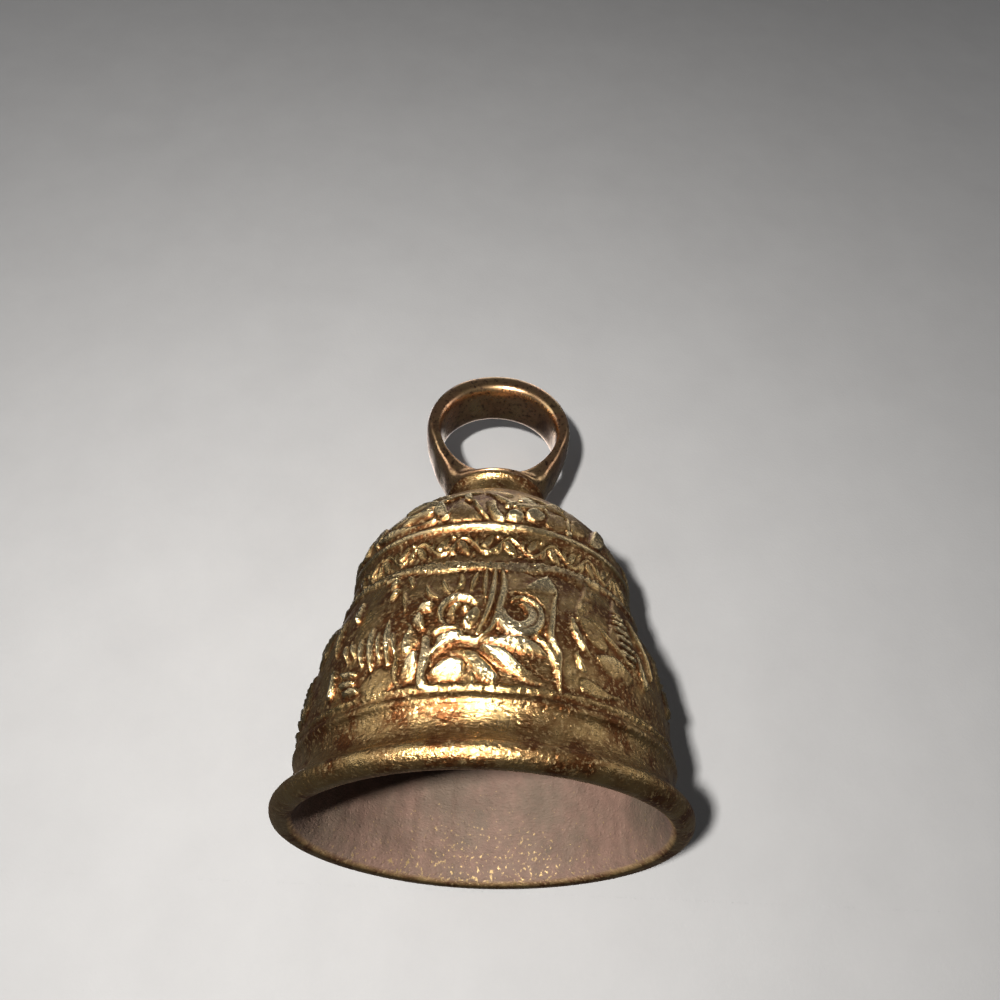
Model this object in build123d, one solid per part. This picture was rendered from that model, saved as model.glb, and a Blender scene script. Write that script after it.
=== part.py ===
"""Cast brass hand bell with a finger ring, standing on its mouth.

Millimetres. The origin is the centre of the mouth, +Z runs up the axis of the
bell, and the hole of the finger ring runs along Y. The clapper hangs inside on
a swivel: the eye turns about Z in the cap nut, the clapper swings in the eye.
"""

import os

from build123d import *

# --- driving dimensions -----------------------------------------------------
MOUTH_R = 35.0  # widest point of the rolled lip
CROWN_BORE_R = 3.05  # clearance hole for the stud of the finger ring
CROWN_UNDER = 67.5  # flat seat inside, under the crown
COLLAR_TOP = 73.8

RING_Z = 91.8  # centre of the finger hole
RING_BORE_R = 13.5
RING_BACK_Z = 94.3  # centre of the round back: the ring is thickest on top
RING_BACK_R = 17.5
RING_HALF = 6.0  # half the width of the band, along Y

STUD_R = 3.0
STUD_END = 61.4

WASHER_R = 6.6
WASHER_T = 1.0

CAP_FLATS = 10.0  # across the flats of the hexagon
CAP_BOTTOM = 58.0
CAP_FLOOR = 59.6

PIN_R = 1.45  # swivel pin, turning in the floor of the cap nut
PIN_HOLE_R = 1.5
EYE_R = 3.1  # mean radius of the swivel eye
EYE_WIRE_R = 1.0
PIVOT_Z = 50.4  # lowest wire of the eye, about which the clapper swings

HOOK_R = 2.3  # mean radius of the clapper's closed hook, round the pivot
HOOK_WIRE_R = 1.0
ROD_R = 1.5
BALL_Z = 22.5
BALL_R = 7.5
TAIL_R = 1.1  # threaded end of the rod, under the ball
TAIL_END = 13.9
TIP_R = 2.9


def turned(points, splines=()):
    """Solid turned about Z from an (r, z) outline; splines are runs of points."""
    with BuildPart() as part:
        with BuildSketch(Plane.XZ):
            with BuildLine():
                start = points[0]
                for kind, run in splines:
                    if kind == "line":
                        Polyline(start, *run)
                    else:
                        Spline(start, *run)
                    start = run[-1]
            make_face()
        revolve(axis=Axis.Z)
    return part.part


# --- bell body: one casting, lip to collar ----------------------------------
lip_bead = [(34.5, 0.8), (MOUTH_R, 2.0), (34.6, 3.1), (33.4, 3.8)]
cove = [(32.5, 5.6), (32.3, 7.4), (32.55, 9.0)]
foot_ridge = [(33.1, 9.6), (33.1, 10.3), (32.7, 10.9)]
waist = [(32.6, 15.3), (32.2, 21.3), (31.3, 26.8), (29.9, 31.8), (28.6, 35.8)]
bead_ridge = [(28.6, 36.8), (28.6, 38.0), (28.1, 39.2)]
band = [(27.55, 40.0), (27.35, 43.8)]
band_ridge = [(27.8, 44.4), (28.05, 45.2), (27.7, 46.1)]
shoulder = [
    (27.1, 49.3), (25.4, 53.1), (22.8, 56.8), (19.9, 60.0), (17.0, 62.9), (14.6, 65.1),
    (12.4, 66.5), (10.6, 67.2),
]  # fmt: skip
collar_bead = [(11.15, 72.3), (11.15, 73.1), (10.5, COLLAR_TOP)]
inner_wall = [
    (13.2, 62.0), (19.2, 56.0), (23.6, 49.3), (24.6, 41.8), (26.6, 33.8), (28.9, 21.8),
    (29.6, 8.8),
]  # fmt: skip
inner_mouth = [(30.3, 2.2), (31.7, 0.0)]

bell_body = turned(
    [(33.3, 0.0)],
    [
        ("spline", lip_bead),
        ("spline", cove),
        ("spline", foot_ridge),
        ("spline", waist),
        ("spline", bead_ridge),
        ("line", band),
        ("spline", band_ridge),
        ("spline", shoulder),
        ("line", [(10.6, 71.6)]),
        ("spline", collar_bead),
        ("line", [(CROWN_BORE_R, COLLAR_TOP), (CROWN_BORE_R, CROWN_UNDER), (7.2, CROWN_UNDER)]),
        ("line", inner_wall),
        ("line", inner_mouth),
        ("line", [(33.3, 0.0)]),
    ],
)

# --- finger ring: thick band, flared foot and stud, one casting --------------
with BuildPart() as foot_part:
    with BuildSketch(Plane.XY.offset(COLLAR_TOP)):
        Circle(11.3)
    with BuildSketch(Plane.XY.offset(COLLAR_TOP + 3.0)):
        Ellipse(12.4, 7.2)
    with BuildSketch(Plane.XY.offset(COLLAR_TOP + 9.5)):
        Ellipse(15.3, 5.4)
    loft()

with BuildPart() as back_part:
    with BuildSketch(Plane.XY):
        with BuildLine():
            back = Spline(
                (RING_BACK_R - 2.4, RING_HALF), (RING_BACK_R - 1.0, RING_HALF - 0.6),
                (RING_BACK_R, 0), (RING_BACK_R - 1.0, 0.6 - RING_HALF),
                (RING_BACK_R - 2.4, -RING_HALF),
            )  # fmt: skip
            Polyline(back @ 1, (0, -RING_HALF), (0, RING_HALF), back @ 0)
        make_face()
    revolve(axis=Axis.Y)
ring_back = Pos(0, 0, RING_BACK_Z) * back_part.part

finger_hole = Pos(0, 0, RING_Z) * Rot(90, 0, 0) * Cylinder(RING_BORE_R, 40)
stud_height = COLLAR_TOP + 1.0 - STUD_END
stud = Pos(0, 0, STUD_END + stud_height / 2) * Cylinder(STUD_R, stud_height)
ring_handle = (ring_back + foot_part.part - finger_hole) + stud

# --- crown washer -----------------------------------------------------------
washer_z = CROWN_UNDER - WASHER_T / 2
crown_washer = Pos(0, 0, washer_z) * (
    Cylinder(WASHER_R, WASHER_T) - Cylinder(CROWN_BORE_R, 2 * WASHER_T)
)

# --- cap nut: screws on the stud and holds the head of the swivel ------------
cap_top = CROWN_UNDER - WASHER_T
cap_height = cap_top - CAP_BOTTOM
with BuildPart() as cap_part:
    with BuildSketch(Plane.XY.offset(CAP_BOTTOM)):
        RegularPolygon(CAP_FLATS / 2, 6, major_radius=False)
    extrude(amount=cap_height)
corner_turn = Pos(0, 0, CAP_BOTTOM + cap_height / 2 + 0.6) * Cylinder(5.55, cap_height + 1.2)
bore_depth = cap_top - CAP_FLOOR
cap_bore = Pos(0, 0, CAP_FLOOR + bore_depth / 2) * Cylinder(STUD_R, bore_depth)
pin_hole = Pos(0, 0, CAP_BOTTOM) * Cylinder(PIN_HOLE_R, 8)
cap_nut = (cap_part.part & corner_turn) - cap_bore - pin_hole

# --- swivel eye: headed pin with a closed eye --------------------------------
head = Pos(0, 0, CAP_FLOOR + 0.05 + 0.6) * Cylinder(2.5, 1.2)
pin_bottom = PIVOT_Z + 2 * EYE_R
pin_length = CAP_FLOOR + 0.3 - pin_bottom
pin = Pos(0, 0, pin_bottom + pin_length / 2) * Cylinder(PIN_R, pin_length)
eye = Pos(0, 0, PIVOT_Z + EYE_R) * Rot(90, 0, 0) * Torus(EYE_R, EYE_WIRE_R)
swivel_eye = head + pin + eye

# --- clapper: hooked rod, ball and tip nut -----------------------------------
hook = Pos(0, 0, PIVOT_Z) * Rot(0, 90, 0) * Torus(HOOK_R, HOOK_WIRE_R)
rod_top = PIVOT_Z - HOOK_R
rod_bottom = BALL_Z - BALL_R + 0.4
rod = Pos(0, 0, (rod_top + rod_bottom) / 2) * Cylinder(ROD_R, rod_top - rod_bottom)
rod -= Pos(0, 0, PIVOT_Z) * Rot(0, 90, 0) * Cylinder(HOOK_R - HOOK_WIRE_R + 0.02, 8)
tail = Pos(0, 0, (rod_bottom + TAIL_END) / 2) * Cylinder(TAIL_R, rod_bottom - TAIL_END)
clapper_shank = hook + rod + tail

ball_bore = Pos(0, 0, BALL_Z + 5) * Cylinder(ROD_R + 0.02, 2 * (BALL_Z + 5 - rod_bottom))
ball_flat = Pos(0, 0, rod_bottom - 5) * Box(20, 20, 10)
clapper_ball = Pos(0, 0, BALL_Z) * Sphere(BALL_R) - ball_bore - ball_flat

tip_top = rod_bottom
tip_dome = Pos(0, 0, tip_top) * Sphere(TIP_R) & Pos(0, 0, tip_top - 5) * Box(10, 10, 10)
tip_bore_height = tip_top - TAIL_END + 0.1
tip_bore = Pos(0, 0, tip_top - tip_bore_height / 2) * Cylinder(TAIL_R + 0.02, tip_bore_height)
clapper_tip = tip_dome - tip_bore

os.makedirs("parts", exist_ok=True)
export_step(bell_body, "parts/bell_body.step")
export_step(ring_handle, "parts/ring_handle.step")
export_step(crown_washer, "parts/crown_washer.step")
export_step(cap_nut, "parts/cap_nut.step")
export_step(swivel_eye, "parts/swivel_eye.step")
export_step(clapper_shank, "parts/clapper_shank.step")
export_step(clapper_ball, "parts/clapper_ball.step")
export_step(clapper_tip, "parts/clapper_tip.step")
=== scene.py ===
"""Cast brass hand bell with a finger ring: how it looks."""

import math

import bpy
import numpy as np
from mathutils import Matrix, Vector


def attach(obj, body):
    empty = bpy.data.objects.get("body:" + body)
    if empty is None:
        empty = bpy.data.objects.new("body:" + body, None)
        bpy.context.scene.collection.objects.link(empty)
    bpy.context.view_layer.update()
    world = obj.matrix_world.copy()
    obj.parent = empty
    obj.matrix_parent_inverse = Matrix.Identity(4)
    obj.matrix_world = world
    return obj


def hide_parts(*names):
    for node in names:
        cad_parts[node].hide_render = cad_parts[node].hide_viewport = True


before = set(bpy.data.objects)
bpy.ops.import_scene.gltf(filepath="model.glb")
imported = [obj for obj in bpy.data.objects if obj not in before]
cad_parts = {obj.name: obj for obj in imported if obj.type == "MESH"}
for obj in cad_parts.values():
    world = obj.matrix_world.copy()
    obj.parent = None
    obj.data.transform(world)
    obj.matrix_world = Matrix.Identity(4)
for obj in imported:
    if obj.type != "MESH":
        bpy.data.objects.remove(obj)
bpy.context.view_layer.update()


# ---------------------------------------------------------------- bell body
# One sand casting of yellow brass about 3 mm thick: rolled lip, cove, foot ridge, a waist
# covered with cast leaves and scrolls, a raised band, a leafy shoulder and a short collar.
# It was chased little, so the metal keeps its grain; the high spots are rubbed bright.
PANEL = 64.9  # mm of waist that one pattern plate covers; three plates go round
WAIST_R = 31.0  # mm, the radius on which the plate's widths are laid out


def skin(name, *grids):
    """Closed mesh from grids of points P(u_i, v_j) in mm; u and v both close on themselves.

    Faces join (i, j), (i, j + 1), (i + 1, j + 1), (i + 1, j), indices wrapping round.
    """
    quads, start = [], 0
    for rows in grids:
        n, m = rows.shape[:2]
        i, j = np.arange(n)[:, None], np.arange(m)[None, :]
        i1, j1 = (i + 1) % n, (j + 1) % m
        ring = np.broadcast_arrays(i * m + j, i * m + j1, i1 * m + j1, i1 * m + j)
        quads.append(np.stack(ring, axis=-1).reshape(-1, 4) + start)
        start += n * m
    quads = np.concatenate(quads)
    points = np.concatenate([rows.reshape(-1, 3) for rows in grids]) / 1000.0
    mesh = bpy.data.meshes.new(name)
    mesh.vertices.add(len(points))
    mesh.vertices.foreach_set("co", points.reshape(-1).astype(np.float32))
    mesh.loops.add(quads.size)
    mesh.loops.foreach_set("vertex_index", quads.reshape(-1).astype(np.int32))
    mesh.polygons.add(len(quads))
    mesh.polygons.foreach_set("loop_start", np.arange(0, quads.size, 4, dtype=np.int32))
    mesh.polygons.foreach_set("use_smooth", np.ones(len(quads), bool))
    mesh.update(calc_edges=True)
    piece = bpy.data.objects.new(name, mesh)
    bpy.context.scene.collection.objects.link(piece)
    return piece


def between(a, b, c, d, t):
    """Catmull-Rom point at t between b and c."""
    cubed = (3 * b - a - 3 * c + d) * t**3
    return 0.5 * (2 * b + (c - a) * t + (2 * a - 5 * b + 4 * c - d) * t**2 + cubed)


def faired(points, count, last=False):
    """Catmull-Rom curve through points: count samples, the last point only when asked."""
    p = np.asarray(points, float)
    p = np.vstack([2 * p[0] - p[1], p, 2 * p[-1] - p[-2]])
    step = np.r_[0, np.cumsum(np.linalg.norm(np.diff(p[1:-1], axis=0), axis=1))]
    s = np.linspace(0, step[-1], count, endpoint=last)
    k = np.clip(np.searchsorted(step, s, side="right") - 1, 0, len(step) - 2)
    t = ((s - step[k]) / (step[k + 1] - step[k]))[:, None]
    return between(p[k], p[k + 1], p[k + 2], p[k + 3], t)


def ramp(x, low, high):
    """Smooth step from 0 at low to 1 at high."""
    t = np.clip((x - low) / (high - low), 0, 1)
    return t * t * (3 - 2 * t)


def grain(shape, cells, seed):
    """Value noise in -1..1 on a grid that closes round: cells = (up, round) lattice cells."""
    lattice = np.random.default_rng(seed).uniform(-1, 1, (cells[0] + 2, cells[1]))
    u = np.linspace(0, cells[0], shape[0])[:, None]
    v = (np.arange(shape[1]) / shape[1] * cells[1])[None, :]
    i, j = u.astype(int), v.astype(int)
    fu, fv = ramp(u - i, 0, 1), ramp(v - j, 0, 1)
    j1 = (j + 1) % cells[1]
    low = lattice[i, j % cells[1]] * (1 - fv) + lattice[i, j1] * fv
    high = lattice[i + 1, j % cells[1]] * (1 - fv) + lattice[i + 1, j1] * fv
    return low * (1 - fu) + high * fu


def nearest(x, z, line):
    """Distance from each point to a polyline, and how far along it (0..1) the foot lies."""
    best, along = np.full(x.shape, 1e9), np.zeros(x.shape)
    last = max(len(line) - 1, 1)
    for k, (a, b) in enumerate(zip(line[:-1], line[1:])):
        ab = b - a
        t = np.clip(((x - a[0]) * ab[0] + (z - a[1]) * ab[1]) / (ab @ ab + 1e-9), 0, 1)
        gap = np.hypot(x - a[0] - t * ab[0], z - a[1] - t * ab[1])
        along = np.where(gap < best, (k + t) / last, along)
        best = np.minimum(best, gap)
    return best, along


def rib(x, z, points, width, height):
    """Raised tapering line: height sqrt(1 - (d / w)^2), w = width (0.3 + 0.7 sin(pi t^0.8))."""
    line = faired(points, 3 * len(points) + 4, last=True)
    out = np.zeros(x.shape)
    (x_low, z_low), (x_high, z_high) = line.min(axis=0) - 2, line.max(axis=0) + 2
    near = (x > x_low) & (x < x_high) & (z > z_low) & (z < z_high)
    gap, along = nearest(x[near], z[near], line)
    swell = 0.3 + 0.7 * np.sin(np.pi * along**0.8)
    out[near] = height * (0.4 + 0.6 * swell) * np.sqrt(np.clip(1 - (gap / (width * swell)) ** 2, 0, 1))
    return out


def closed(points, per=5):
    """Closed Catmull-Rom curve through points, per samples between each two."""
    b = np.asarray(points, float)[:, None]
    a, c, d = np.roll(b, 1, 0), np.roll(b, -1, 0), np.roll(b, -2, 0)
    t = (np.arange(per) / per)[:, None]
    return between(a, b, c, d, t).reshape(-1, 2)


def form(x, z, outline, rise, edge, tip_x=0.0, tip_z=0.0):
    """Broad raised form inside a closed outline: a rounded step of that width at its edge,
    rise (1 - (1 - d / edge)^2)^0.5, its top tipped by tip_x, tip_z mm per mm."""
    line = closed(outline)
    line = np.vstack([line, line[:1]])
    out = np.zeros(x.shape)
    (x_low, z_low), (x_high, z_high) = line.min(axis=0), line.max(axis=0)
    near = (x > x_low) & (x < x_high) & (z > z_low) & (z < z_high)
    px, pz = x[near], z[near]
    gap, _ = nearest(px, pz, line)
    inside = np.zeros(px.shape, bool)
    for a, b in zip(line[:-1], line[1:]):
        border = (b[0] - a[0]) * (pz - a[1]) / (b[1] - a[1] + 1e-12) + a[0]
        inside ^= ((a[1] > pz) != (b[1] > pz)) & (px < border)
    t = np.clip(gap / edge, 0, 1)
    middle = line[:-1].mean(axis=0)
    top = rise + tip_x * (px - middle[0]) + tip_z * (pz - middle[1])
    out[near] = np.where(inside, np.clip(top, 0.2, 1.7) * np.sqrt(1 - (1 - t) ** 2), 0)
    return out


def berry(x, z, centre, radius, height):
    """Round boss: height sqrt(1 - (d / radius)^2)."""
    d = np.hypot(x - centre[0], z - centre[1]) / radius
    return height * np.sqrt(np.clip(1 - d * d, 0, 1))


def carved(x, z, ribs, forms):
    """Highest of all the ribs and forms at each point."""
    height = np.zeros(x.shape)
    for points, width, rise in ribs:
        height = np.maximum(height, rib(x, z, np.array(points, float), width, rise))
    for outline, rise, edge, tip_x, tip_z in forms:
        height = np.maximum(height, form(x, z, np.array(outline, float), rise, edge, tip_x, tip_z))
    return height


def waist_plate(x, z):
    """Height in mm of the leaves, scrolls and wing of the waist, x round and z up the bell."""
    forms = [
        # long pointed blades crossing near the foot
        ([(-2.4, 17.1), (0.6, 16.9), (3.4, 14.7), (6.9, 12.2), (4.4, 12.2), (1.2, 14.0)],
         0.81, 0.3, 0.0, 0.48),
        ([(-2.2, 18.4), (1.6, 19.2), (4.6, 19.0), (7.4, 17.0), (4.2, 16.8), (1.0, 17.5)],
         0.81, 0.3, 0.0, 0.42),
        ([(-6.8, 16.9), (-3.6, 16.8), (-1.0, 14.4), (0.3, 12.5), (-0.6, 11.5), (-2.8, 13.0), (-4.2, 15.0)],
         0.72, 0.36, 0.15, 0.0),
        ([(-9.1, 16.2), (-8.6, 19.0), (-6.6, 20.0), (-4.8, 19.6), (-6.4, 18.0), (-8.0, 16.9)],
         0.72, 0.3, 0.0, 0.36),
        ([(-9.3, 13.5), (-7.2, 15.3), (-4.7, 15.1), (-4.3, 13.1), (-6.0, 11.8), (-8.8, 12.4)],
         0.68, 0.6, 0.0, 0.3),
        # stem and leaves left of the blades
        ([(-10.9, 19.6), (-9.6, 19.2), (-9.3, 16.0), (-9.7, 13.0), (-9.2, 10.6), (-10.7, 10.6),
          (-11.2, 13.0), (-11.0, 17.0)], 0.81, 0.42, 0.0, 0.0),
        ([(-13.9, 17.2), (-13.8, 20.2), (-12.6, 21.4), (-11.5, 19.6), (-12.2, 17.4)],
         0.59, 0.36, -0.3, 0.0),
        ([(-13.8, 13.0), (-12.6, 16.4), (-11.3, 16.8), (-11.3, 13.6), (-12.6, 12.2)], 0.68, 0.36, 0.0, 0.3),
        ([(-12.6, 25.1), (-11.6, 26.2), (-10.2, 26.1), (-10.5, 24.5), (-11.8, 24.6)], 0.77, 0.27, 0.0, 0.5),
        ([(-13.2, 22.9), (-11.6, 24.0), (-11.0, 21.2), (-12.3, 21.6)], 0.77, 0.27, 0.3, 0.3),
        # left scroll with its eye
        ([(-7.3, 21.8), (-7.7, 23.8), (-6.9, 25.4), (-5.6, 25.6), (-6.3, 24.2), (-6.4, 22.4)],
         0.5, 0.3, 0.3, 0.2),
        ([(-5.2, 21.6), (-4.6, 23.2), (-3.2, 24.6), (-2.5, 23.6), (-3.0, 21.8), (-4.2, 20.6)],
         0.66, 0.3, -0.25, 0.2),
        # right volute, a crescent round a deep pit
        ([(0.6, 25.2), (0.6, 23.0), (1.8, 20.8), (3.8, 20.9), (5.6, 22.4), (6.0, 24.6), (4.8, 26.2),
          (3.0, 26.5), (3.9, 25.4), (4.4, 23.6), (3.6, 22.2), (2.2, 22.4), (1.4, 24.2)],
         0.89, 0.42, 0.0, -0.15),
        # hanging cloth-like panel and the leaf head over it
        ([(1.4, 33.0), (4.6, 33.4), (9.4, 30.6), (8.8, 27.0), (8.2, 23.0), (8.0, 19.9), (7.2, 21.6),
          (7.3, 25.6), (5.8, 27.8), (2.8, 28.4), (1.3, 27.2)], 0.38, 0.36, 0.0, 0.0),
        ([(4.2, 29.2), (5.6, 30.9), (8.0, 32.4), (9.1, 31.7), (10.3, 30.0), (8.7, 28.9), (6.6, 28.8)],
         0.89, 0.42, 0.0, 0.3),
        # tear, crescent and wing at the right
        ([(12.0, 19.0), (12.7, 17.6), (13.8, 15.6), (12.3, 16.0)], 0.77, 0.24, 0.0, 0.3),
        ([(11.9, 25.4), (11.7, 22.8), (12.8, 20.4), (15.4, 18.2), (13.6, 20.8), (12.8, 23.4)],
         0.81, 0.24, -0.3, 0.0),
        ([(13.6, 25.8), (14.2, 22.6), (16.4, 20.6), (18.6, 21.4), (17.2, 24.4), (15.2, 26.2)],
         0.38, 0.54, 0.0, 0.0),
        ([(15.6, 19.0), (18.0, 16.6), (21.4, 16.0), (23.4, 17.8), (19.6, 20.2)], 0.42, 0.48, 0.0, 0.15),
        ([(25.4, 23.6), (26.2, 21.6), (27.1, 17.4), (26.0, 17.8), (25.3, 20.8)], 0.81, 0.24, 0.0, 0.0),
        ([(12.2, 14.0), (14.0, 14.6), (17.4, 13.4), (20.4, 13.4), (16.0, 12.0), (13.0, 12.4)],
         0.34, 0.36, 0.0, 0.0),
        # leaves at the left
        ([(-26.8, 31.6), (-25.6, 30.4), (-24.9, 27.0), (-26.1, 26.7), (-27.0, 29.0)], 0.81, 0.3, 0.3, 0.0),
        ([(-22.4, 34.2), (-20.6, 35.0), (-18.6, 34.5), (-20.4, 34.0)], 0.68, 0.18, 0.0, 0.0),
        ([(-20.2, 31.8), (-19.4, 33.6), (-18.2, 33.4), (-18.9, 31.6)], 0.68, 0.24, 0.0, 0.3),
        ([(-19.2, 29.2), (-18.4, 31.0), (-17.4, 30.8), (-18.1, 29.0)], 0.64, 0.24, 0.0, 0.3),
        ([(-16.8, 33.6), (-15.0, 31.0), (-15.4, 33.4)], 0.59, 0.18, 0.0, 0.0),
        ([(-20.6, 13.2), (-17.4, 15.6), (-14.6, 13.6), (-15.4, 11.4), (-19.4, 11.2)], 0.34, 0.6, 0.0, 0.0),
        ([(-25.0, 16.6), (-22.0, 16.0), (-22.2, 15.1), (-24.8, 15.3)], 0.72, 0.21, 0.0, 0.5),
        ([(-24.9, 14.7), (-22.0, 14.5), (-22.2, 13.5), (-24.6, 13.6)], 0.72, 0.21, 0.0, 0.5),
        ([(-23.9, 13.0), (-21.4, 13.2), (-20.6, 12.0), (-23.2, 12.0)], 0.72, 0.21, 0.0, 0.5),
        ([(-28.6, 17.4), (-27.2, 18.0), (-26.6, 14.0), (-28.0, 13.2)], 0.77, 0.24, 0.3, 0.0),
    ]  # fmt: skip
    ribs = [
        # bands of the left scroll and the right volute
        ([(-3.2, 25.8), (-5.0, 26.9), (-7.2, 26.6), (-8.6, 24.9), (-8.5, 22.6), (-7.2, 20.9)], 0.75, 1.0),
        ([(0.4, 26.6), (0.1, 24.0), (1.0, 21.3), (3.2, 20.2), (5.7, 21.2), (6.7, 23.8), (5.9, 26.2),
          (3.8, 27.3), (2.2, 26.7)], 0.85, 1.05),
        # cords of the hanging stem
        ([(0.7, 33.9), (1.0, 29.6), (0.3, 25.0), (-0.7, 21.2), (-2.6, 18.9)], 0.75, 0.95),
        ([(-0.5, 34.0), (-0.7, 29.4), (-1.4, 24.4), (-2.9, 19.8)], 0.65, 0.95),
        ([(-2.0, 33.6), (-2.1, 30.2), (-1.9, 26.0)], 0.55, 0.75),
        ([(-3.4, 32.8), (-4.0, 30.6), (-4.3, 28.6)], 0.6, 0.7),
        ([(-6.4, 32.6), (-6.0, 30.6), (-6.8, 28.4)], 0.6, 0.6),
        ([(-9.4, 31.6), (-8.8, 29.8), (-7.8, 28.2)], 0.55, 0.7),
        ([(-12.2, 30.6), (-11.2, 28.4), (-9.6, 27.2)], 0.5, 0.7),
        # edge of the hanging panel, and the dark strip's far side
        ([(10.2, 30.1), (9.1, 27.0), (8.4, 23.0), (8.1, 20.0), (9.3, 17.4), (9.1, 14.8), (9.1, 11.6)],
         0.6, 0.95),
        ([(6.3, 20.0), (7.6, 18.4), (8.6, 16.2), (8.7, 13.6)], 0.6, 0.6),
        ([(-9.8, 15.6), (-8.4, 17.6), (-5.8, 18.9), (-2.6, 18.8)], 0.6, 0.9),
        ([(-9.6, 20.4), (-7.4, 20.9), (-4.6, 20.3)], 0.5, 0.7),
        ([(0.2, 19.2), (2.2, 20.2), (5.2, 20.4), (7.0, 19.0)], 0.5, 0.7),
        ([(-3.3, 13.2), (-3.2, 11.4)], 0.35, 0.45),
        ([(-13.9, 22.6), (-13.0, 21.4), (-13.7, 19.6), (-14.0, 17.2)], 0.4, 0.85),
        ([(-16.4, 30.0), (-15.4, 27.4), (-14.8, 25.0)], 0.5, 0.6),
        ([(-14.8, 17.0), (-14.6, 13.6), (-13.6, 11.2)], 0.5, 0.6),
        ([(15.6, 26.6), (19.0, 23.4), (22.4, 20.6), (25.6, 18.2)], 0.5, 0.6),
        ([(27.6, 31.4), (28.2, 27.6), (29.6, 24.4), (30.2, 20.6)], 0.8, 0.8),
        ([(-30.4, 29.4), (-29.8, 25.2), (-28.8, 21.2)], 0.8, 0.8),
    ]  # fmt: skip
    # feather comb: long upright strokes
    for x0, top, foot, width in (
        (-25.3, 22.0, 18.6, 0.45), (-23.7, 21.8, 19.0, 0.5), (-21.7, 21.9, 16.6, 0.6),
        (-19.8, 23.4, 15.6, 0.85), (-18.3, 22.2, 16.4, 0.45), (-16.8, 24.0, 15.8, 0.8),
        (-15.5, 21.4, 16.6, 0.4),
    ):  # fmt: skip
        ribs.append(([(x0 - 0.5, top), (x0, (top + foot) / 2), (x0 + 0.7, foot)], width, 1.0))
    height = carved(x, z, ribs, forms)
    # barred wing: slats one above another inside a tall triangle
    triangle = [(19.2, 23.4), (20.6, 27.2), (22.8, 31.6), (24.8, 35.0), (25.4, 33.6), (24.8, 28.6),
                (25.0, 20.6), (21.6, 20.4)]  # fmt: skip
    wing = form(x, z, np.array(triangle), 1.0, 0.8)
    bars = np.cos(2 * np.pi * (z - 20.9 + 0.1 * x) / 1.55) * ramp(-z, -31.4, -29.6) * ramp(x, 20.4, 21.6)
    height = np.maximum(height, wing * (0.5 + 0.5 * bars))
    height = np.maximum(height, berry(x, z, (-4.9, 24.6), 0.6, 0.8))
    pit = np.exp(-((((x - 2.7) / 1.4) ** 2 + ((z - 24.3) / 1.7) ** 2) ** 2))
    strip = np.exp(-(((x - 11.3 - 0.06 * (z - 20)) / 1.5) ** 4)) * ramp(z, 11.5, 13.5) * ramp(-z, -34, -32)
    # fine slanting hatching on the broad faces
    hatch = 0.08 * np.cos(2 * np.pi * (0.6 * x + 0.8 * z) / 0.9) * ramp(height, 0.5, 0.75)
    return height + hatch - 0.8 * pit - 0.35 * strip


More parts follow.
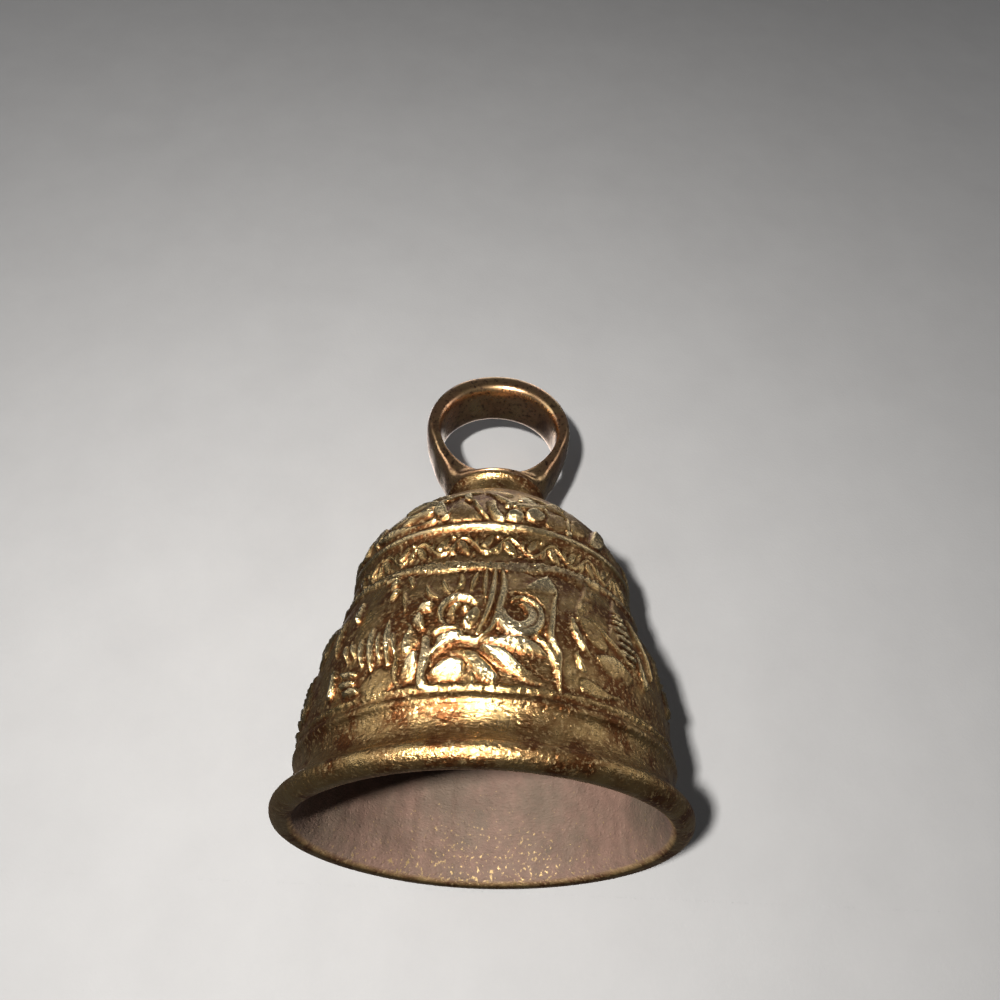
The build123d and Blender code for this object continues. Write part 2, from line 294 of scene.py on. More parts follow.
def shoulder_plate(x, z):
    """Height in mm of the overlapping leaves of the shoulder, x round and z up the bell."""
    forms = [
        ([(-29.0, 46.6), (-24.0, 47.4), (-17.0, 46.4), (-12.8, 46.9), (-14.6, 45.2), (-21.0, 45.0)],
         0.64, 0.36, 0.0, 0.45),
        ([(-26.0, 48.8), (-20.0, 49.4), (-14.0, 49.2), (-15.6, 47.6), (-21.0, 47.6)],
         0.68, 0.36, 0.0, 0.45),
        ([(-22.4, 51.4), (-17.6, 52.4), (-13.8, 51.8), (-16.2, 50.0), (-20.6, 50.0)],
         0.72, 0.36, 0.0, 0.45),
        ([(-14.2, 49.6), (-12.0, 50.4), (-10.7, 47.0), (-13.2, 47.4)], 0.94, 0.36, 0.15, 0.3),
        ([(-9.8, 45.4), (-10.0, 49.6), (-8.6, 51.4), (-5.6, 48.6), (-3.6, 45.6)], 0.47, 0.54, 0.0, 0.0),
        ([(-8.0, 52.0), (-6.6, 53.2), (-5.9, 51.2), (-7.0, 51.0)], 0.89, 0.27, 0.0, 0.3),
        ([(-3.0, 51.0), (-0.9, 50.6), (-0.4, 47.8), (1.2, 45.4), (-0.8, 45.6), (-2.4, 48.2)],
         0.72, 0.36, 0.3, 0.0),
        ([(1.0, 49.4), (2.4, 50.4), (3.6, 50.2), (2.0, 48.8)], 0.81, 0.24, 0.0, 0.3),
        ([(1.2, 46.6), (3.0, 47.9), (5.0, 46.8), (3.4, 45.2)], 0.89, 0.36, 0.0, 0.3),
        ([(3.8, 51.4), (6.0, 52.2), (8.6, 50.6), (6.8, 49.4), (5.0, 50.2)], 0.81, 0.36, 0.0, 0.3),
        ([(5.3, 48.0), (7.2, 49.0), (9.6, 47.8), (7.8, 46.2), (5.8, 46.6)], 0.89, 0.36, 0.0, 0.3),
        ([(9.6, 46.4), (11.4, 49.4), (14.6, 49.8), (14.2, 46.2), (11.8, 45.2)], 0.42, 0.48, 0.0, 0.0),
        ([(15.6, 46.6), (16.8, 50.2), (19.6, 50.6), (19.4, 46.8)], 0.42, 0.48, 0.0, 0.0),
        ([(20.6, 45.4), (22.4, 49.0), (25.6, 51.8), (26.6, 49.4), (23.8, 45.6)], 0.77, 0.48, 0.0, 0.0),
        ([(-31.8, 50.6), (-28.4, 50.6), (-27.8, 47.6), (-30.6, 46.2)], 0.68, 0.48, 0.0, 0.0),
        ([(10.4, 51.6), (12.8, 53.6), (16.0, 52.4), (13.2, 51.0)], 0.51, 0.36, 0.0, 0.3),
        ([(-3.6, 54.4), (0.0, 55.6), (3.4, 54.2), (0.0, 52.8)], 0.51, 0.48, 0.0, 0.3),
        ([(-17.6, 54.4), (-14.0, 55.2), (-10.2, 54.0), (-13.6, 53.2)], 0.51, 0.36, 0.0, 0.3),
    ]  # fmt: skip
    ribs = [
        ([(-12.4, 46.2), (-10.4, 47.6), (-9.9, 50.4)], 0.5, 0.7),
        ([(-5.6, 51.4), (-4.4, 48.6), (-2.2, 45.8)], 0.55, 0.8),
        ([(1.4, 51.4), (4.2, 48.4), (4.8, 45.6)], 0.45, 0.6),
        ([(8.8, 52.4), (10.2, 50.0), (10.6, 46.4)], 0.5, 0.6),
        ([(-24.0, 46.0), (-17.0, 49.6), (-9.4, 53.8), (-4.0, 55.4)], 0.9, 0.8),
        ([(-2.6, 54.4), (0.6, 51.6), (3.6, 49.8), (8.4, 50.4), (12.6, 53.2)], 0.8, 0.8),
        ([(6.4, 55.2), (12.0, 52.4), (17.6, 48.6)], 0.7, 0.6),
        ([(14.6, 45.0), (15.0, 47.6), (15.8, 50.8)], 0.5, 0.7),
    ]  # fmt: skip
    return np.maximum(carved(x, z, ribs, forms), berry(x, z, (14.9, 45.3), 0.9, 1.1))


def band_plate(x, z):
    """Height in mm of the raised band: a running vine with paired leaves and seeds."""
    middle = 39.9
    period = 64.91 * 3 / 22  # 22 waves go once round
    along = (x + period / 2) % period - period / 2
    vine = middle + 1.7 * np.sin(2 * np.pi * x / period)
    height = 0.55 * np.sqrt(np.clip(1 - ((z - vine) / 0.42) ** 2, 0, 1))
    for side in (-1, 1):
        u, v = along - side * period / 4, side * (z - middle)
        for leaf in (
            [(-1.3, 0.4), (-0.2, 0.9), (0.9, -0.4), (1.2, -2.2), (-0.4, -1.5)],
            [(-1.7, 0.6), (-2.6, -0.4), (-2.7, -2.0), (-1.6, -1.2)],
        ):
            height = np.maximum(height, form(u, v, np.array(leaf), 0.5, 0.3, 0.0, 0.12))
        height = np.maximum(height, berry(u, v, (2.1, -2.0), 0.45, 0.5))
    return height


def softened(field, passes):
    """Average of each point with its neighbours, round and up, passes times."""
    for _ in range(passes):
        up = np.vstack([field[:1], field[:-1]])
        down = np.vstack([field[1:], field[-1:]])
        field = (2 * field + np.roll(field, 1, 1) + np.roll(field, -1, 1) + up + down) / 6
    return field


LAID = 0.8  # mm, the plates' patterns are laid out this much below their place on the bell
# Columns lie closer on the worked front than elsewhere; rows follow the outline.
FRONT = 34.0  # mm each way from the middle of the front
ROUND = 194.78  # mm once round at WAIST_R
FOOT_ROWS = 3 + 11 + 8 + 6  # lip, cove and foot ridge
RELIEF_ROWS = 150  # waist, band and shoulder
RUN_OUT = 6  # rows of the crown over which the relief runs out
WALL_ROWS = 15 + 7  # inner wall, last in the outline
turn = np.concatenate([
    np.linspace(-FRONT, FRONT, 280, endpoint=False),
    np.linspace(FRONT, ROUND - FRONT, 150, endpoint=False),
])  # fmt: skip
angle = turn / WAIST_R - np.pi / 2
outer = np.vstack([
    faired([(31.8, 0.1), (32.4, 0.0), (33.3, 0.0)], 3),
    faired([(33.3, 0.0), (34.5, 0.8), (35.0, 2.0), (34.6, 3.1), (33.4, 3.8)], 11),
    faired([(33.4, 3.8), (32.5, 5.6), (32.3, 7.4), (32.55, 9.0)], 8),
    faired([(32.55, 9.0), (33.05, 9.6), (33.05, 10.3), (32.7, 10.9)], 6),
    faired([(32.7, 10.9), (32.6, 15.3), (32.2, 21.3), (31.3, 26.8), (29.9, 31.8), (28.6, 35.8), (27.7, 39.2),
            (27.4, 42.8), (27.4, 46.1), (27.0, 49.3), (25.3, 53.1), (22.7, 56.8)], RELIEF_ROWS),
    faired([(22.7, 56.8), (19.8, 60.0), (16.9, 62.9), (14.5, 65.1), (12.4, 66.5), (10.7, 67.2)], 16),
    faired([(10.7, 67.2), (10.6, 69.5), (10.6, 71.5)], 4),
    faired([(10.6, 71.5), (11.15, 72.3), (11.15, 73.1), (10.5, 73.8)], 7),
    [(10.5, 73.8), (6.0, 73.8), (3.05, 73.8), (3.05, 70.5), (3.05, 67.5), (7.0, 67.5)],
    faired([(7.2, 67.4), (13.2, 62.0), (19.2, 56.0), (23.6, 49.3), (24.6, 41.8), (26.6, 33.8), (28.9, 21.8),
            (29.6, 8.8)], 15),
    faired([(29.6, 8.8), (29.9, 4.4), (30.6, 1.6), (31.8, 0.1)], 7),
])  # fmt: skip
step = np.roll(outer, -1, 0) - np.roll(outer, 1, 0)
step /= np.linalg.norm(step, axis=1)[:, None]
out_r, out_z = step[:, 1:2], -step[:, 0:1]
radius, level = outer[:, 0:1], outer[:, 1:2]
count = np.arange(len(outer))[:, None]
worked = (count >= FOOT_ROWS) & (count < FOOT_ROWS + RELIEF_ROWS + RUN_OUT)
plate = np.round(turn / PANEL)
local = (turn - PANEL * plate) * np.where(plate == 0, 1, -1)
# X and Z: place on the pattern plate; T: way round from the middle of the front; all in mm
X, Z = (np.array(side) for side in np.broadcast_arrays(local[None, :], level - LAID))
T = np.array(np.broadcast_to(turn[None, :], X.shape))
inside = count >= len(outer) - WALL_ROWS
cloud = grain(X.shape, (60, 60), 3)
fine = grain(X.shape, (150, 260), 5)
speckle = np.random.default_rng(8).uniform(-1, 1, X.shape)
# granular swag under the band: upper and lower edge, and the arm that hangs at one side
crest = 36.9 - 1.3 * np.exp(-((T / 9.0) ** 2)) + 0.4 * np.sin(X * 0.11)
hem = crest - 1.7 - 1.1 * np.exp(-(((X - 4) / 5.0) ** 2)) - 1.0 * np.exp(-(((X + 10) / 5.0) ** 2))
swag = 0.55 * ramp(crest - Z, -0.1, 0.4) * ramp(Z - hem, -0.3, 0.5)
hanging = [(11.0, 35.6), (15.6, 35.2), (17.4, 33.0), (16.2, 30.2), (14.2, 27.6), (13.4, 25.6)]
arm = rib(X, Z, np.array(hanging), 1.6, 0.5)
beads = np.maximum(swag, arm) * (1 + 0.34 * fine + 0.12 * speckle)
EDGE_Z, LEDGE_Z = 44.3, 11.0  # mm, cords above the band and under the waist's relief
edge = 0.65 * np.exp(-(((Z - EDGE_Z) / 0.62) ** 2))
ledge = 0.35 * np.exp(-(((Z - LEDGE_Z) / 0.5) ** 2)) * (1 + 0.5 * fine)
relief = waist_plate(X, Z) * ramp(Z, 10.4, 11.2) * ramp(hem - Z, -0.8, 0.2)
relief = np.maximum(relief, shoulder_plate(X, Z) * ramp(Z, 44.8, 45.4) * ramp(-Z, -56.5, -54.5))
relief = np.maximum(relief, band_plate(T, Z) * ramp(Z - crest, 0.2, 0.9) * ramp(-Z, -43.6, -43.0))
relief = np.maximum(relief, np.maximum(np.maximum(beads, edge), ledge)) * worked
# worn a little softer than it was cast; hollow tells how deep a point lies among its neighbours
crisp = relief
relief = 0.75 * relief + 0.25 * softened(relief, 1)
hollow = softened(crisp, 16) - crisp
sand_skin = np.where(worked, 0.05, 0.022) * fine + np.where(worked, 0.035, 0.010) * speckle
skin_grain = sand_skin + 0.03 * cloud * (Z < 56)
# inside: the rough skin that the sand core left
core = inside * (0.22 * cloud + 0.15 * fine + 0.09 * speckle) * ramp(Z, 0.0, 3.0)
lift = relief + np.where(inside, core, skin_grain * ramp(radius, 8.0, 11.5)) * (Z > -0.7)
# knocks and years have left the waist uneven and the mouth a little out of round
dent = 0.12 * np.sin(3 * angle + 1.0) * ramp(Z, 4, 12) * ramp(-Z, -60, -50)
dent = dent + 0.4 * np.cos(4 * angle) * (0.6 - 0.4 * np.cos(angle)) * ramp(-Z, -13, -3)
r = radius + out_r * lift + dent * ramp(radius, 8.0, 14.0)
z = level + out_z * lift
rows = np.stack([r * np.cos(angle), r * np.sin(angle), np.broadcast_to(z, r.shape)], axis=-1)
bell = skin("bell_body", rows)
for name, values in (
    ("hollow", np.clip(hollow, -1, 1)),
    ("raised", crisp + 0.12 * (swag > 0.2) + 0.2 * (edge > 0.3)),
    ("core", inside * np.ones_like(X)),
):
    layer = bell.data.attributes.new(name, "FLOAT", "POINT")
    layer.data.foreach_set("value", np.ascontiguousarray(values, np.float32).reshape(-1))


def node_group(name, inputs, outputs):
    """Empty shader node group with named float or colour sockets."""
    group = bpy.data.node_groups.new(name, "ShaderNodeTree")
    for label, kind, value in inputs:
        socket = group.interface.new_socket(label, in_out="INPUT", socket_type="NodeSocket" + kind)
        if value is not None:
            socket.default_value = value
    for label, kind in outputs:
        group.interface.new_socket(label, in_out="OUTPUT", socket_type="NodeSocket" + kind)
    return group, group.nodes.new("NodeGroupInput"), group.nodes.new("NodeGroupOutput")


def feed(tree, node, links):
    """Link or set a node's inputs, given by name or number."""
    for key, source in links.items():
        if isinstance(source, bpy.types.NodeSocket):
            tree.links.new(source, node.inputs[key])
        else:
            node.inputs[key].default_value = source
    return node


def add(tree, kind, links=None, **values):
    """Node of that kind; values set its properties, links feed its inputs."""
    node = tree.nodes.new("ShaderNode" + kind)
    for key, value in values.items():
        setattr(node, key, value)
    return feed(tree, node, links or {})


def ranged(tree, value, span=(0.0, 1.0), to=(0.0, 1.0)):
    """Value moved linearly from span to the range to, and held inside it."""
    links = {"Value": value, "From Min": span[0], "From Max": span[1], "To Min": to[0], "To Max": to[1]}
    return add(tree, "MapRange", links)


def noise(tree, place, scale, detail, roughness=0.5):
    """Noise in object space: scale in cells a metre, detail in octaves."""
    links = {"Vector": place, "Scale": scale, "Detail": detail, "Roughness": roughness}
    return add(tree, "TexNoise", links)


# Tarnish: brown film that gathers where the relief is deep, in clouds and freckles.
tarnish, g_in, g_out = node_group(
    "tarnish",
    [("Depth", "Float", 0.0), ("Amount", "Float", 0.5), ("Scale", "Float", 1.0)],
    [("Film", "Float"), ("Freckles", "Float")],
)
t = tarnish
place = add(t, "TexCoord")
sized = add(t, "VectorMath", {0: place.outputs["Object"], "Scale": g_in.outputs["Scale"]}, operation="SCALE")
clouds = noise(t, sized.outputs[0], 160.0, 6.0, 0.62)
spots = noise(t, sized.outputs[0], 1400.0, 3.0, 0.7)
spotted = ranged(t, spots.outputs[0], (0.54, 0.66))
lifted = ranged(t, clouds.outputs[0], (0.3, 0.72), (-0.75, 0.75))
deep = add(t, "Math", {0: g_in.outputs["Depth"], 1: 2.6, 2: lifted.outputs[0]}, operation="MULTIPLY_ADD")
total = add(t, "Math", {0: deep.outputs[0], 1: g_in.outputs["Amount"]}, operation="ADD", use_clamp=True)
t.links.new(total.outputs[0], g_out.inputs["Film"])
t.links.new(spotted.outputs[0], g_out.inputs["Freckles"])

# Cast grain: pits and sand texture left by the mould, as a normal.
cast_grain, g_in, g_out = node_group(
    "cast_grain",
    [("Strength", "Float", 0.3), ("Scale", "Float", 1.0)],
    [("Normal", "Vector")],
)
t = cast_grain
place = add(t, "TexCoord")
sized = add(t, "VectorMath", {0: place.outputs["Object"], "Scale": g_in.outputs["Scale"]}, operation="SCALE")
laid = add(t, "VectorMath", {0: sized.outputs[0], 1: (0.7, 0.7, 1.6)}, operation="MULTIPLY")
sand = noise(t, laid.outputs[0], 1500.0, 4.0, 0.65)
pits = add(t, "TexVoronoi", {"Vector": sized.outputs[0], "Scale": 900.0, "Randomness": 1.0})
pitted = ranged(t, pits.outputs["Distance"], (0.08, 0.34))
mixed = add(t, "Math", {0: pitted.outputs[0], 1: 0.35, 2: sand.outputs[0]}, operation="MULTIPLY_ADD")
bump = add(t, "Bump", {"Strength": g_in.outputs["Strength"], "Distance": 0.00025, "Height": mixed.outputs[0]})
t.links.new(bump.outputs[0], g_out.inputs["Normal"])


def grouped(tree, group, links):
    """Instance of a shared group in a material."""
    return feed(tree, add(tree, "Group", node_tree=group), links)


def new_material(name):
    """Material of that name, its node tree and its one shader."""
    material = bpy.data.materials.new(name)
    material.use_nodes = True
    tree = material.node_tree
    return material, tree, tree.nodes["Principled BSDF"]


def blend(tree, share, first, second):
    """Colour mix of two colours or sockets by share."""
    node = add(tree, "Mix", data_type="RGBA")
    return feed(tree, node, {0: share, 6: first, 7: second}).outputs[2]


def coated(tree, metal, colour, roughness, texture):
    """Feed a metal its colour, roughness and grain."""
    tree.links.new(colour, metal.inputs["Base Color"])
    tree.links.new(roughness.outputs[0], metal.inputs["Roughness"])
    tree.links.new(texture.outputs["Normal"], metal.inputs["Normal"])


material, tree, metal = new_material("cast_bell_brass")
# Outside: bare brass, brown film in the hollows, freckles, and high spots rubbed pale.
depth = add(tree, "Attribute", attribute_name="hollow")
raised = add(tree, "Attribute", attribute_name="raised")
inner = add(tree, "Attribute", attribute_name="core")
film = grouped(tree, tarnish, {"Depth": depth.outputs["Fac"], "Amount": 0.72})
texture = grouped(tree, cast_grain, {"Strength": 0.75})
rubbed = ranged(tree, raised.outputs["Fac"], (0.45, 1.05), (0.0, 0.7))
base = blend(tree, film.outputs["Film"], (0.60, 0.405, 0.17, 1), (0.135, 0.052, 0.018, 1))
base = blend(tree, film.outputs["Freckles"], base, (0.64, 0.44, 0.21, 1))
base = blend(tree, rubbed.outputs[0], base, (0.80, 0.67, 0.42, 1))
shine = ranged(tree, film.outputs["Film"], to=(0.22, 0.38))
shine = add(tree, "Mix", {0: rubbed.outputs[0], 2: shine.outputs[0], 3: 0.17})
# Inside: dull stained core skin with bright metal flecks. The flecks crowd low down and near the middle of
# the front, where the lamp's glints fall: painted glint.
place = add(tree, "TexCoord")
flecks = noise(tree, place.outputs["Object"], 1500.0, 2.0)
height_at = add(tree, "SeparateXYZ", {0: place.outputs["Object"]})
# Painted glint: more flecks towards the mouth and towards the middle (x = 0), where the lamp lights the
# inside.
low_down = ranged(tree, height_at.outputs[2], (0.020, 0.001), (-0.08, 0.10))
aside = add(tree, "Math", {0: height_at.outputs[0]}, operation="ABSOLUTE")
off_middle = ranged(tree, aside.outputs[0], (0.010, 0.028), (0.0, -0.09))
painted_glint_bias = add(tree, "Math", {0: low_down.outputs[0], 1: off_middle.outputs[0]}, operation="ADD")
fleck_and_glint_level = add(tree, "Math", {0: flecks.outputs[0], 1: painted_glint_bias.outputs[0]}, operation="ADD")
gold_fleck_and_glint = ranged(tree, fleck_and_glint_level.outputs[0], (0.65, 0.80), (0.0, 0.7))
sand_wash = noise(tree, place.outputs["Object"], 260.0, 8.0, 0.7)
dull = blend(tree, sand_wash.outputs[0], (0.060, 0.036, 0.026, 1), (0.25, 0.150, 0.115, 1))
stain = noise(tree, place.outputs["Object"], 60.0, 9.0, 0.75)
stained = ranged(tree, stain.outputs[0], (0.42, 0.62), (0.0, 0.55))
dull = blend(tree, stained.outputs[0], dull, (0.075, 0.066, 0.045, 1))
dull = blend(tree, gold_fleck_and_glint.outputs[0], dull, (0.62, 0.44, 0.19, 1))
colour = blend(tree, inner.outputs["Fac"], base, dull)
core_rough = ranged(tree, gold_fleck_and_glint.outputs[0], to=(0.75, 0.35))
rough = add(tree, "Mix", {0: inner.outputs["Fac"], 2: shine.outputs[0], 3: core_rough.outputs[0]})
core_metal = ranged(tree, gold_fleck_and_glint.outputs[0], to=(0.25, 1.0))
metallic = add(tree, "Mix", {0: inner.outputs["Fac"], 2: 1.0, 3: core_metal.outputs[0]})
tree.links.new(metallic.outputs[0], metal.inputs["Metallic"])
coated(tree, metal, colour, rough, texture)
bell.data.materials.append(material)
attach(bell, "bell")
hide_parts("bell_body")


# -------------------------------------------------------------- finger ring
# Separate casting: a wide band with a crowned back round the finger hole, spreading into a
# flared foot that beds on the collar, and a threaded stud below. Handled smooth, coppery.
def turned(outline, sides=96):
    """Surface of revolution about Z: P = (r cos v, r sin v, z), (r, z) on a closed outline."""
    line = np.asarray(outline, float)
    v = np.linspace(0, 2 * np.pi, sides, endpoint=False)
    r, z = line[:, 0:1], line[:, 1:2]
    return np.stack([r * np.cos(v), r * np.sin(v), z + 0 * v], axis=-1)


def power(value, exponent):
    """Signed power, for superelliptic sections."""
    return np.sign(value) * np.abs(value) ** exponent


# Section at angle a round the hole: rho = m + h cos^p s, y = w sin^q s, where m -+ h runs from
# the hole to the back, a circle set 2.5 mm higher, and w spreads to the round foot.
a = np.linspace(-np.pi, np.pi, 240, endpoint=False)[:, None]
s = np.linspace(0, 2 * np.pi, 72, endpoint=False)[None, :]
HOLE_Z, HOLE_R = 91.8, 13.52  # mm
BACK_R, BACK_RISE = 17.5, 2.5  # mm, the back's circle and how far above the hole it sits
HALF_WIDTH = 6.0  # mm
FOOT, FOOT_R = 18.0, 11.3  # mm, drop from the hole's centre to the seat, and the seat's radius
down = np.maximum(-np.sin(a), 1e-3)
back = BACK_RISE * np.sin(a) + np.sqrt(BACK_R**2 - (BACK_RISE * np.cos(a)) ** 2)
lobe = ramp(-np.sin(a), 0.25, 0.60)
wall = (FOOT_R + 4.0 * ramp(-np.sin(a), 0.85, 0.42)) / np.maximum(np.abs(np.cos(a)), 1e-3)
leg = np.maximum(back - 2.0 * ramp(down, 0.7, 0.9), np.minimum(FOOT / down, wall))
outline = back * (1 - lobe) + leg * lobe
for _ in range(8):
    outline = 0.4 * outline + 0.3 * np.roll(outline, 2, 0) + 0.3 * np.roll(outline, -2, 0)
outline = np.minimum(outline, np.where(down > 0.5, FOOT / down, 99.0))
middle, half = (outline + HOLE_R) / 2, (outline - HOLE_R) / 2
boxy = np.where(np.cos(s) < 0, 0.5, 0.72 - 0.1 * lobe)
rho = middle + half * power(np.cos(s), boxy)
depth_share = ramp(rho * down, 14.0, 18.0) * lobe
across = np.sqrt(np.clip(FOOT_R**2 - (rho * np.cos(a)) ** 2, 9.0, None))
width = HALF_WIDTH * (1 - depth_share) + np.maximum(5.4, across) * depth_share
y = width * power(np.sin(s), 0.78 - 0.12 * lobe)
wobble = 1 + 0.012 * grain((len(a), s.size), (14, 9), 12)
band_rows = np.stack([rho * np.cos(a), y * wobble, HOLE_Z + rho * np.sin(a)], axis=-1)
stud = turned([(0.02, 61.4), (2.7, 61.4), (3.0, 61.8), (3.0, 75.5), (0.02, 75.5)], 48)
ring = skin("ring_handle", band_rows, stud)
material, tree, metal = new_material("cast_ring_brass")
place = add(tree, "TexCoord")
film = grouped(tree, tarnish, {"Depth": 0.0, "Amount": 0.34, "Scale": 0.8})
texture = grouped(tree, cast_grain, {"Strength": 0.16, "Scale": 0.8})
copper = noise(tree, place.outputs["Object"], 120.0, 5.0)
tint = ranged(tree, copper.outputs[0], (0.38, 0.6))
base = blend(tree, tint.outputs[0], (0.68, 0.46, 0.23, 1), (0.68, 0.38, 0.21, 1))
base = blend(tree, film.outputs["Film"], base, (0.15, 0.08, 0.045, 1))
base = blend(tree, film.outputs["Freckles"], base, (0.13, 0.07, 0.045, 1))
shine = ranged(tree, film.outputs["Film"], to=(0.24, 0.42))
metal.inputs["Metallic"].default_value = 1.0
coated(tree, metal, base, shine, texture)
ring.data.materials.append(material)
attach(ring, "bell")
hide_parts("ring_handle")


# ------------------------------------------------------------- crown washer
# Stamped brass washer that beds the cap nut on the rough crown. It was never polished or
# touched, so it is dull and brown.
edge_line = [(3.05, 66.5), (6.5, 66.5), (6.6, 66.6), (6.6, 67.4), (6.5, 67.5), (3.05, 67.5)]
washer = skin("crown_washer", turned(edge_line))
material, tree, metal = new_material("washer_brass")
film = grouped(tree, tarnish, {"Depth": 0.0, "Amount": 0.6})
texture = grouped(tree, cast_grain, {"Strength": 0.12})
colour = blend(tree, film.outputs["Film"], (0.60, 0.42, 0.18, 1), (0.2, 0.12, 0.06, 1))
tree.links.new(colour, metal.inputs["Base Color"])
metal.inputs["Metallic"].default_value = 1.0
metal.inputs["Roughness"].default_value = 0.42
tree.links.new(texture.outputs["Normal"], metal.inputs["Normal"])
washer.data.materials.append(material)
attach(washer, "bell")
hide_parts("crown_washer")


# ------------------------------------------------------------------ cap nut
# Hexagon steel cap nut, chamfered at both ends on the lathe, that screws on the ring's stud.
# Its floor holds the head of the swivel pin. Age has darkened it unevenly.
v = np.linspace(0, 2 * np.pi, 144, endpoint=False)
flats = 5.0 / np.cos((v + np.pi / 6) % (np.pi / 3) - np.pi / 6)
nut_line = np.array([
    (1.5, 58.0), (4.3, 58.0), (4.9, 58.15), (5.55, 58.7), (5.55, 65.8), (5.0, 66.35), (4.6, 66.5),
    (3.0, 66.5), (3.0, 59.6), (1.5, 59.6),
])  # fmt: skip
radii, levels = nut_line[:, :1], nut_line[:, 1:] + 0 * v
radii = np.where(radii > 4.5, np.minimum(radii, flats), radii)
cap = skin("cap_nut", np.stack([radii * np.cos(v), radii * np.sin(v), levels], axis=-1))
cap.data.polygons.foreach_set("use_smooth", np.zeros(len(cap.data.polygons), bool))
material, tree, metal = new_material("fitting_steel")
place = add(tree, "TexCoord")
worn = noise(tree, place.outputs["Object"], 700.0, 6.0, 0.6)
texture = grouped(tree, cast_grain, {"Strength": 0.1, "Scale": 1.4})
colour = blend(tree, worn.outputs[0], (0.44, 0.42, 0.39, 1), (0.17, 0.14, 0.12, 1))
metal.inputs["Metallic"].default_value = 1.0
shine = ranged(tree, worn.outputs[0], to=(0.25, 0.55))
coated(tree, metal, colour, shine, texture)
steel = material
cap.data.materials.append(steel)
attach(cap, "bell")
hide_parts("cap_nut")


# --------------------------------------------------------------- swivel eye
# Forged steel pin with a flat head above the nut's floor and a closed wire eye below it, the
# wire bent round and welded shut. It turns in the nut, so the clapper can swing any way.
def ring_of_wire(centre, mean, wire, axis):
    """Torus: P = centre + (R + w cos t)(e1 cos v + e2 sin v) + w sin t axis."""
    v = np.linspace(0, 2 * np.pi, 72, endpoint=False)[:, None]
    t = np.linspace(0, 2 * np.pi, 28, endpoint=False)[None, :]
    flat, rise = (mean + wire * np.cos(t)) * np.cos(v), (mean + wire * np.cos(t)) * np.sin(v)
    off = wire * np.sin(t) + 0 * v
    if axis == "X":
        return np.stack([-off, flat, rise], axis=-1) + np.array([0, 0, centre])
    return np.stack([flat, off, rise], axis=-1) + np.array([0, 0, centre])


pin_line = [(0.02, 57.0), (1.45, 57.0), (1.45, 59.65), (2.4, 59.65), (2.5, 59.75), (2.5, 60.7), (2.35, 60.85),
            (0.02, 60.85)]  # fmt: skip
pin = turned(pin_line, 48)
neck = turned([(0.02, 56.4), (1.05, 56.4), (1.3, 56.9), (1.45, 57.3), (1.45, 57.9), (0.02, 57.9)], 48)
eye = skin("swivel_eye", pin, neck, ring_of_wire(53.5, 3.1, 1.0, "Y"))
material, tree, metal = new_material("wire_steel")
place = add(tree, "TexCoord")
worn = noise(tree, place.outputs["Object"], 480.0, 7.0, 0.65)
texture = grouped(tree, cast_grain, {"Strength": 0.2, "Scale": 1.2})
colour = blend(tree, worn.outputs[0], (0.40, 0.37, 0.34, 1), (0.14, 0.09, 0.06, 1))
metal.inputs["Metallic"].default_value = 1.0
shine = ranged(tree, worn.outputs[0], to=(0.3, 0.6))
coated(tree, metal, colour, shine, texture)
wire_steel = material
eye.data.materials.append(wire_steel)
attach(eye, "swivel")
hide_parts("swivel_eye")


# ------------------------------------------------------------ clapper shank
# Steel rod whose top is bent into a closed hook through the eye, darkened like the eye. Its
# thinner tail is threaded and passes through the ball.
rod_line = [(0.02, 13.9), (1.1, 13.9), (1.1, 15.4), (1.5, 15.4), (1.5, 46.2), (1.3, 47.6), (1.05, 48.3),
            (0.02, 48.3)]  # fmt: skip
rod = turned(rod_line, 48)
shank = skin("clapper_shank", rod, ring_of_wire(50.4, 2.3, 1.0, "X"))
shank.data.materials.append(wire_steel)
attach(shank, "clapper")
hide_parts("clapper_shank")


# ------------------------------------------------------------- clapper ball
# Cast iron ball, drilled through for the shank, with a small flat below for the nut. Its skin
# is grey-brown with patches of light rust.
BALL_R, BALL_Z = 7.5, 22.5  # mm
rise = np.linspace(-math.acos(1.55 / BALL_R), math.acos(2.42 / BALL_R), 44)
belly = [(BALL_R * math.cos(p), BALL_Z - BALL_R * math.sin(p)) for p in rise]
ball_line = [(1.52, 15.4), (2.42, 15.4)] + belly[::-1] + [(1.52, belly[0][1])]
ball = skin("clapper_ball", turned(ball_line))
material, tree, metal = new_material("clapper_iron")
place = add(tree, "TexCoord")
rust = noise(tree, place.outputs["Object"], 300.0, 8.0, 0.65)
mask = ranged(tree, rust.outputs[0], (0.42, 0.64))
texture = grouped(tree, cast_grain, {"Strength": 0.4})
colour = blend(tree, mask.outputs[0], (0.13, 0.115, 0.105, 1), (0.20, 0.085, 0.04, 1))
bare = ranged(tree, mask.outputs[0], to=(0.9, 0.2))
tree.links.new(bare.outputs[0], metal.inputs["Metallic"])
shine = ranged(tree, mask.outputs[0], to=(0.38, 0.8))
coated(tree, metal, colour, shine, texture)
ball.data.materials.append(material)
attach(ball, "clapper")
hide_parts("clapper_ball")


# -------------------------------------------------------------- clapper tip
# Small round steel nut, turned to a dome below, that holds the ball on the tail of the
# shank. It is of the same metal as the cap nut.
dome = [(2.9 * math.sin(p), 15.4 - 2.9 * math.cos(p)) for p in np.linspace(0.01, math.pi / 2, 16)]
tip = skin("clapper_tip", turned(dome + [(1.12, 15.4), (1.12, 13.85), (0.02, 13.85)], 64))
tip.data.materials.append(steel)
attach(tip, "clapper")
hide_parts("clapper_tip")


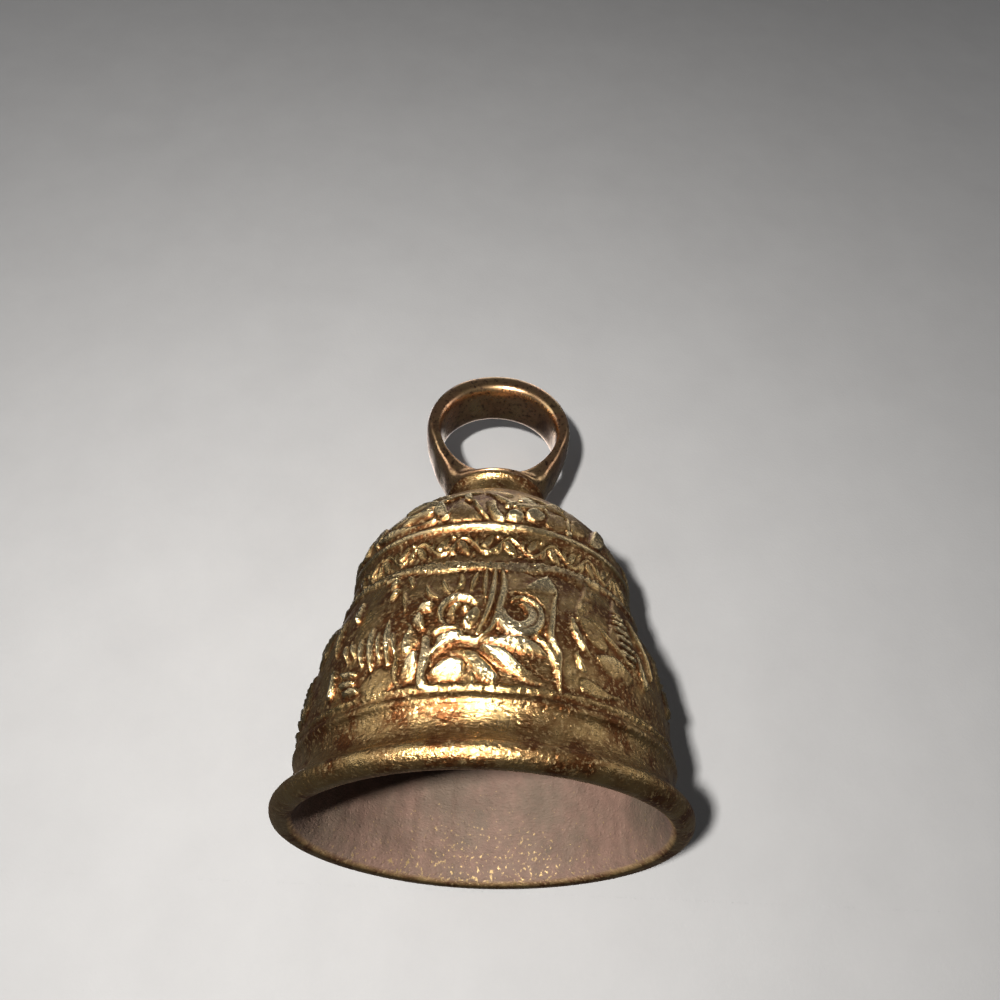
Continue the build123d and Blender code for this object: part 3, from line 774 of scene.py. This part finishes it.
# ------------------------------------------------- floor, light, camera
# Two plain pale sheets: one that the bell leans on as if laid down, one that it stands on.
# Each shows from its front only and takes no part in reflections.
def sheet(name, corners):
    """Flat four-cornered sheet."""
    mesh = bpy.data.meshes.new(name)
    mesh.from_pydata([tuple(c) for c in corners], [], [(0, 1, 2, 3)])
    piece = bpy.data.objects.new(name, mesh)
    bpy.context.scene.collection.objects.link(piece)
    for ray in ("diffuse", "glossy", "transmission", "volume_scatter", "shadow"):
        setattr(piece, "visible_" + ray, False)
    return piece


def pale_paper(name, shade):
    """Matt mottled paper of that reflectance, clear when seen from its back."""
    material = bpy.data.materials.new(name)
    material.use_nodes = True
    tree = material.node_tree
    tree.nodes.clear()
    place = add(tree, "TexCoord")
    mottle = noise(tree, place.outputs["Object"], 60.0, 8.0, 0.6)
    tooth = noise(tree, place.outputs["Object"], 1500.0, 3.0)
    tooth_bump = add(tree, "Bump", {"Strength": 0.12, "Distance": 0.0004, "Height": tooth.outputs[0]})
    low, high = (shade, shade, 1.02 * shade, 1), (1.15 * shade, 1.15 * shade, 1.17 * shade, 1)
    tone = blend(tree, mottle.outputs[0], low, high)
    paper = add(tree, "BsdfDiffuse", {"Color": tone, "Normal": tooth_bump.outputs[0]})
    clear = add(tree, "BsdfTransparent")
    facing = add(tree, "NewGeometry")
    sides = {0: facing.outputs["Backfacing"], 1: paper.outputs[0], 2: clear.outputs[0]}
    add(tree, "OutputMaterial", {"Surface": add(tree, "MixShader", sides).outputs[0]})
    return material


lean = math.radians(9.3)  # its top comes forward, so it lies on the lip and the shoulder
up = np.array([0.0, -math.sin(lean), math.cos(lean)])
foot = np.array([0.0, 0.0351, 0.003])
reach_out = np.array([0.9, 0.0, 0.0])
low_edge, high_edge = foot - 0.7 * up, foot + 1.4 * up
corners = [low_edge - reach_out, low_edge + reach_out, high_edge + reach_out, high_edge - reach_out]
back_sheet = sheet("back_sheet", corners)
floor = sheet("floor", [(-1.2, -1.2, 0), (1.2, -1.2, 0), (1.2, 1.2, 0), (-1.2, 1.2, 0)])
back_sheet.data.materials.append(pale_paper("pale_wall", 0.27))
floor.data.materials.append(pale_paper("pale_floor", 0.62))


def lamp(name, place, aim, size, watts, tone=(1.0, 1.0, 1.0)):
    """Square area lamp at place, facing aim."""
    data = bpy.data.lights.new(name, "AREA")
    data.shape = "SQUARE"
    data.size = size
    data.energy = watts
    data.color = tone
    piece = bpy.data.objects.new(name, data)
    piece.location = place
    towards = np.array(aim, float) - np.array(place, float)
    piece.rotation_euler = Vector(towards).to_track_quat("-Z", "Y").to_euler()
    bpy.context.scene.collection.objects.link(piece)
    return piece


# A small bright lamp beside the lens throws the sharp shadow; large dim ones fill in round it.
lamp("near_lens", (-0.060, -0.235, -0.075), (0.0, 0.0, 0.045), 0.013, 2.0, (1.0, 0.97, 0.92))
lamp("left_fill", (-0.45, -0.25, 0.15), (0.0, 0.0, 0.05), 0.35, 0.6)
lamp("right_fill", (0.45, -0.20, 0.20), (0.0, 0.0, 0.05), 0.30, 0.4)
lamp("top_fill", (0.05, 0.05, 0.70), (0.0, 0.0, 0.05), 0.40, 0.8)
lamp("rear_fill", (-0.05, 0.50, 0.45), (0.0, 0.0, 0.05), 0.40, 1.0)
world = bpy.data.worlds.new("studio")
world.use_nodes = True
world.node_tree.nodes["Background"].inputs[0].default_value = (0.62, 0.63, 0.65, 1)
world.node_tree.nodes["Background"].inputs[1].default_value = 0.10
bpy.context.scene.world = world

# The camera stands below the mouth and looks up at the front of the bell.
camera_data = bpy.data.cameras.new("camera")
camera_data.sensor_width = 36.0
camera_data.lens = 26.97
camera_data.clip_start = 0.002
camera_data.clip_end = 20.0
camera = bpy.data.objects.new("camera", camera_data)
camera.location = (-0.00418, -0.13221, -0.03637)
camera.rotation_euler = (math.radians(129.855), math.radians(-1.511), math.radians(-3.505))
bpy.context.scene.collection.objects.link(camera)
bpy.context.scene.camera = camera
bpy.context.scene.view_settings.view_transform = "Standard"
